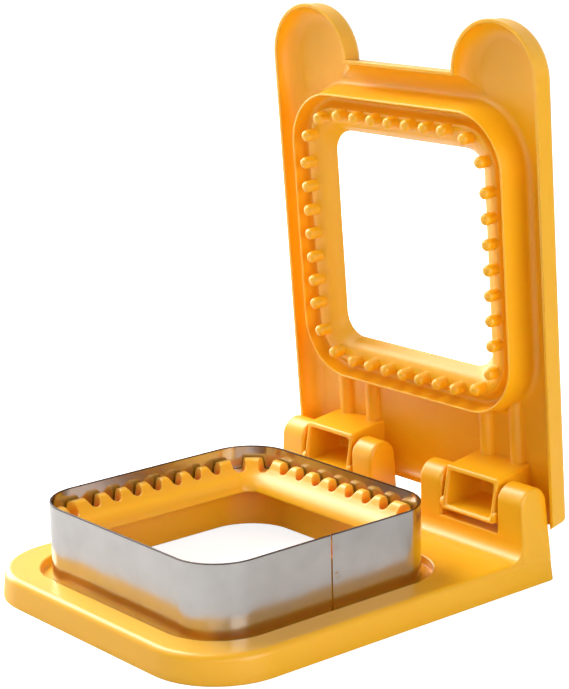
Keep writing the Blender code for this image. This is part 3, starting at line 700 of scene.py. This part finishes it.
def lidRing(half, height, corner=None, long=None):
    # A rounded rectangle round the ring's middle, with as many points at each corner as lidRow.
    corner = half - base["concentric"] if corner is None else corner
    long = half if long is None else long
    counts = (lid["rearPoints"],) * 2 + (lid["frontPoints"],) * 2
    x, y = [], []
    for turn, ((sideX, sideY), count) in enumerate(zip(squareCorners, counts)):
        angle = math.pi / 2 * (turn + np.linspace(0, 1, count))
        x.append(sideX * (half - corner) + corner * np.cos(angle))
        y.append(-pivotY + sideY * (long - corner) + corner * np.sin(angle))
    return atHeight(np.stack([np.concatenate(x), np.concatenate(y)], axis=1), height)


def shellRows():
    # The outer face: up the drafted skirt and over its edge to the mouth in the middle.
    drafted = lid["draft"] * (lid["outer"] - lid["edge"] - lid["brim"])
    rows = [lidRow(lid["brim"] + lid["brimEdge"], 0.0),
            lidRow(lid["outer"] - lid["edge"] - lid["draftLead"], drafted * lid["draftShare"])]
    rows += [lidRow(lid["outer"] - lid["edge"] * below, drafted + lid["edge"] * across)
             for across, below in quarterRound(10)]
    rows += [lidRow(lid["outer"], drafted + lid["edge"] + lid["topLead"])]
    mouth = ring["inner"]
    rows += [lidRing(mouth + lid["mouthRound"] + lid["mouthLead"], lid["outer"])]
    rows += [lidRing(mouth + lid["mouthRound"] * below, lid["outer"] - lid["mouthRound"] * across)
             for across, below in quarterRound(5)]

    # Down the mouth, along the hollow side of the ring's slope to its lip, and back over the slope.
    width, drop = teeth["line"] - lid["lipHalf"], lid["lipHeight"] - lid["crest"]
    rows += [lidRing(mouth, lid["crest"] + drop * lid["wallDown"])]
    for along, down in lid["underSlope"]:
        half = lid["lipHalf"] + width * along
        corner = max(half - base["concentric"], lid["lipCorner"])
        rows.append(lidRing(half, lid["crest"] + drop * down, corner))
    for out, up in ((lid["lipRound"], lid["lipRound"] / 2), lid["lipTuck"], (0.0, 0.0)):
        long = lid["lipLong"] + out
        rows.append(lidRing(lid["lipHalf"] + out, lid["lipHeight"] + up, lid["lipCorner"], long))
    slope = [(lid["lipHalf"], lid["lipHeight"], lid["lipCorner"], lid["lipLong"])]
    for along, down in lid["slope"]:
        half = lid["lipHalf"] + width * along
        corner = max(half - base["concentric"], lid["lipCorner"])
        long = half + (lid["lipLong"] - lid["lipHalf"]) * (1 - along)
        slope.append((half, lid["crest"] + drop * down, corner, long))
    rows += [lidRing(half, height, corner, long) for half, height, corner, long in smoothRows(slope, 4)[1:]]

    # From the crest a smooth channel runs out to the thin rim, which ends in a half circle.
    end = lid["rimOuter"] - lid["rimWall"]
    start, floor = lid["crestEnd"], lid["grooveFloor"]
    channel = [(start, lid["crest"])]
    for shares, top in ((lid["channelOut"], lid["crest"]), (lid["channelIn"], lid["rimHeight"])):
        channel += [(start + (end - start) * along, top + (floor - top) * down) for along, down in shares]
    channel += [(end, lid["rimHeight"] + lid["rimWall"] / 2)]
    rows += [lidRing(half, height) for half, height in smoothRows(channel, 3)]
    rimHalf = lid["rimWall"] / 2
    for angle in np.linspace(0, math.pi, 9)[1:]:
        height = lid["rimHeight"] + rimHalf * (1 - math.sin(angle))
        rows.append(lidRing(end + rimHalf * (1 - math.cos(angle)), height))

    # The inner face: out from the rim's foot and down the skirt's large round to the brim.
    foot = lid["rimOuter"] + lid["rimFlare"]
    rows += [lidRing(foot + lid["footRound"] * across, lid["inner"] - lid["footRound"] * below)
             for across, below in quarterRound(6)]
    rows += [lidRow(lid["inner"] - lid["innerRound"] * across, lid["brimWidth"] + lid["innerRound"] * below)
             for across, below in quarterRound(8)]
    rows += [lidRow(lid["brim"] + lid["brimEdge"], lid["brimWidth"]),
             lidRow(lid["brim"], lid["brimWidth"] - lid["brimEdge"]), lidRow(lid["brim"], lid["brimEdge"])]
    return rows


def rearCut():
    # Behind the hinge the skirt is cut down to a low wall, which clears the ears.
    side = lid["half"] - lid["brimWidth"] - lid["rearGap"]
    centre = lid["inner"] - lid["rearGap"] - lid["innerRound"]
    turn = np.linspace(0, math.asin((lid["rearWall"] - centre) / lid["innerRound"]), 7)
    across = side - lid["innerRound"] * (1 - np.cos(turn))
    height = centre + lid["innerRound"] * np.sin(turn)
    x = np.concatenate([[side, -side], -across, across[::-1]])
    z = np.concatenate([[lid["brim"] - lid["rearPast"]] * 2, height, height[::-1]])
    return alongY(x, z, (0.0, lid["rear"] + lid["rearPast"]))


def postRows():
    # Round posts with quarter round ends, one over each pocket of the lower ring.
    sides = teeth["postSides"]
    around = np.linspace(0, 2 * math.pi, sides, endpoint=False)
    turn = np.linspace(0, math.pi / 2, 9)
    flat, soft = teeth["post"] - teeth["postRound"], teeth["postRound"]
    radii = np.concatenate([[teeth["post"]], flat + soft * np.cos(turn), [flat * teeth["tipShare"]]])
    heights = np.concatenate([[lid["crest"] + teeth["postSink"]], teeth["tip"] + soft * (1 - np.sin(turn)),
                              [teeth["tip"] - teeth["tipRise"]]])
    circle = np.stack([np.cos(around), np.sin(around)], axis=1)
    return [[atHeight([x, y - pivotY] + radius * circle, height) for radius, height in zip(radii, heights)]
            for x, y, way in toothPlaces()]


def blockRows():
    # A hinge block: its front slants from lowFront to highFront, with quarter rounds along its edges.
    turn = np.linspace(0, math.pi / 2, 5)
    rows = []
    for x, inset in roundedEnds(block["inside"], block["outside"], block["edge"], 4):
        soft = max(block["edge"] - inset, block["sharpest"])
        across, below = soft * (1 - np.cos(turn)), soft * (1 - np.sin(turn))
        low, high = -block["front"] + inset, block["rear"] - inset
        y = np.concatenate([[high + block["taper"], low - block["taper"]], low + across, high - across[::-1]])
        z = np.concatenate([[lid["inner"] + block["sink"]] * 2, inset - block["highFront"] + below,
                            inset - block["lowFront"] + below[::-1]])
        rows.append(np.stack([np.full(len(y), x), y, z], axis=1))
    return rows


def pocketRows():
    # The block's pocket: its mouth opens with a quarter round and follows the block's slanting front.
    middleX, middleY = (block["inside"] + block["outside"]) / 2, (block["rear"] - block["front"]) / 2
    wide = middleX - block["inside"] - block["sideWall"]
    tall = middleY + block["front"] - block["endWall"]
    slant = (block["lowFront"] - block["highFront"]) / (block["front"] + block["rear"])
    depth = lid["inner"] + block["highFront"]
    levels = [(deep, 1.0) for deep in block["mouthLead"]]
    levels += [(block["mouthAcross"] * across, below) for across, below in quarterRound(5)]
    levels += [(depth - block["floorLead"], 0.0), (depth, block["floorInset"])]
    rows = []
    for deep, flare in levels:
        high = tall + block["mouthUp"] * flare
        path = closedPath(wide + block["mouthAcross"] * flare, high, high, block["pocketCorner"],
                          block["pocketCorner"], 5)
        front = -block["highFront"] - slant * (path[:, 1] + middleY + block["front"])
        rows.append(np.column_stack([path + [middleX, middleY], front + deep]))
    return rows


def ribRows(across):
    # A half round rib from the ring's rim to the block: half circle in x and z, ends sunk into both.
    centre = base["concentric"]
    past = max(across + block["rib"] - centre, 0)
    ringBack = pivotY - centre - math.sqrt((lid["rimOuter"] - centre) ** 2 - past ** 2)
    turn = np.linspace(0, math.pi, 17)
    foot, sunk = block["rib"] + block["ribFoot"], lid["inner"] + block["sink"]
    x = np.concatenate([[foot], block["rib"] * np.cos(turn), [-foot]]) + across
    z = np.concatenate([[sunk], lid["inner"] - block["ribRise"] - block["rib"] * np.sin(turn), [sunk]])
    return alongY(x, z, (-ringBack - block["sink"], block["sink"] - block["front"]))


def buildLid():
    piece = newPiece("grippedLid", solidMesh("grippedLid", shellRows(), capped=False))
    pins, lugs = [], []
    lugY = block["rear"] - block["lug"] - block["lugGap"]
    lugZ = block["lug"] + block["lugGap"] - block["lowFront"]
    for face, way in ((block["inside"], -1), (block["outside"], 1)):
        start = face - way * block["sink"]
        pinEnd, lugEnd = face + way * block["pinReach"], face + way * block["lugReach"]
        pins.append(barRows((start, pinEnd), 0, 0, block["pin"], block["pinEdge"]))
        lugs.append(barRows((start, lugEnd), lugY, lugZ, block["lug"], block["lugEdge"]))
    middle = (block["inside"] + block["outside"]) / 2
    ribs = [ribRows(middle + way * block["ribSpread"]) for way in (-1, 1)]
    cutOrJoin(piece, [("rearTool", rearCut(), "DIFFERENCE"), ("postTool", postRows(), "UNION"),
                      ("blockTool", bothSides([blockRows()]), "UNION"),
                      ("pocketTool", bothSides([pocketRows()]), "DIFFERENCE"),
                      ("pinTool", bothSides(pins), "UNION"), ("lugTool", bothSides(lugs), "UNION"),
                      ("ribTool", bothSides(ribs), "UNION")])
    place = Matrix.Translation((0, (ringY + pivotY) * mm, pivotZ * mm))
    place = place @ Matrix.Rotation(-math.radians(openAngle), 4, "X")
    material = plasticMaterial("lidPlastic", seed=0.37, paintedHollowShade=False)
    finishPiece(piece, place, "lid", "lid", material)
    print("lid built, %d faces" % len(piece.data.polygons))


buildBase()
buildStrip()
buildLid()


studio = {
    "floorSize": 6.0, "floorColour": 0.74, "floorSeen": 0.86, "floorMirrored": 0.03, "floorReach": 0.9,
    "diffuse": 0.14, "glossy": 1.0,
}


def rayKinds(wire):
    camera = wire.node("ShaderNodeLightPath", output="Is Camera Ray")
    return camera, camera.sibling("Is Glossy Ray"), camera.sibling("Is Transmission Ray")


def buildStudio():
    bpy.ops.mesh.primitive_plane_add(size=studio["floorSize"], location=(0, 0, 0))
    floor = bpy.context.object
    floor.name = "floor"
    material = bpy.data.materials.new("paleFloor")
    material.use_nodes = True
    tree = material.node_tree
    tree.nodes.clear()
    wire = Wire(tree)
    # Near the object the floor keeps its shadow; further out it rises to the backdrop's white.
    camera, glossy, clear = rayKinds(wire)
    place = wire.node("ShaderNodeTexCoord", output="Object")
    reach = wire.node("ShaderNodeVectorMath", {"operation": "LENGTH"}, {0: place}, 1)
    far = (reach / studio["floorReach"]).limited()
    seen = far * (1 - studio["floorSeen"]) + studio["floorSeen"]
    lit = (camera + clear) * seen + glossy * studio["floorMirrored"]
    matt = wire.node("ShaderNodeBsdfDiffuse", None, {"Color": (studio["floorColour"],) * 3 + (1,)})
    lift = wire.node("ShaderNodeEmission", None, {"Color": (1, 1, 1, 1), "Strength": lit})
    both = wire.node("ShaderNodeAddShader", None, {0: matt, 1: lift})
    out = tree.nodes.new("ShaderNodeOutputMaterial")
    feed(out, "Surface", both)
    floor.data.materials.append(material)

    world = bpy.data.worlds.new("studio")
    bpy.context.scene.world = world
    world.use_nodes = True
    # The world is white to the camera and in reflections, and lights the object only weakly.
    camera, glossy, clear = rayKinds(Wire(world.node_tree))
    shader = world.node_tree.nodes["Background"]
    shader.inputs["Color"].default_value = (1, 1, 1, 1)
    diffuse = studio["diffuse"]
    feed(shader, "Strength", camera * (1 - diffuse) + glossy * (studio["glossy"] - diffuse) + diffuse)


# Softboxes stand a metre from a point above the floor: azimuth from +X towards +Y, elevation, power in watts.
softboxes = {
    "leftHigh": (180, 48, 10.5), "leftLow": (180, 12, 9.5), "rightLow": (0, 12, 5.0),
    "frontLeft": (225, 48, 2.6), "frontRight": (315, 12, 1.1), "rear": (100, 14, 0.8),
}
softboxSide, softboxAim = 0.6, (0, 0, 0.08)


def buildLamps():
    for name, (azimuth, elevation, power) in softboxes.items():
        turn, rise = math.radians(azimuth), math.radians(elevation)
        away = Vector((math.cos(turn) * math.cos(rise), math.sin(turn) * math.cos(rise), math.sin(rise)))
        light = bpy.data.lights.new(name, "AREA")
        light.shape = "SQUARE"
        light.size = softboxSide
        light.energy = power
        lamp = bpy.data.objects.new(name, light)
        bpy.context.scene.collection.objects.link(lamp)
        lamp.location = away + Vector(softboxAim)
        lamp.rotation_euler = away.to_track_quat("Z", "Y").to_euler()


# The photograph's camera: its place from the ring's middle, its focal length and its axis in pixels.
view = {
    "azimuth": 49.97, "elevation": 14.06, "roll": -1.08, "place": (507.4, -398.9, 245.7),
    "focal": 2091.87, "middle": (295.85, 342.08), "image": (569, 689), "sensor": 36, "nearest": 0.01,
}


def buildCamera():
    azimuth, elevation, roll = (math.radians(view[key]) for key in ("azimuth", "elevation", "roll"))
    flat = math.cos(elevation)
    back = Vector((math.sin(azimuth) * flat, -math.cos(azimuth) * flat, math.sin(elevation)))
    level = Vector((math.cos(azimuth), math.sin(azimuth), 0))
    rise = back.cross(level)
    right = math.cos(roll) * level + math.sin(roll) * rise
    up = math.cos(roll) * rise - math.sin(roll) * level
    place = (Vector(view["place"]) + Vector((0, ringY, 0))) * mm
    data = bpy.data.cameras.new("camera")
    wide, high = view["image"]
    data.sensor_width = view["sensor"]
    data.lens = view["focal"] * view["sensor"] / high
    data.shift_x = (wide / 2 - view["middle"][0]) / high
    data.shift_y = (view["middle"][1] - high / 2) / high
    data.clip_start = view["nearest"]
    camera = bpy.data.objects.new("camera", data)
    bpy.context.scene.collection.objects.link(camera)
    turned = Matrix((right, up, back)).transposed().to_4x4()
    camera.matrix_world = Matrix.Translation(place) @ turned
    bpy.context.scene.camera = camera


buildStudio()
buildLamps()
buildCamera()
bpy.context.scene.view_settings.view_transform = "Standard"
print("studio ready")

bpy.context.view_layer.update()
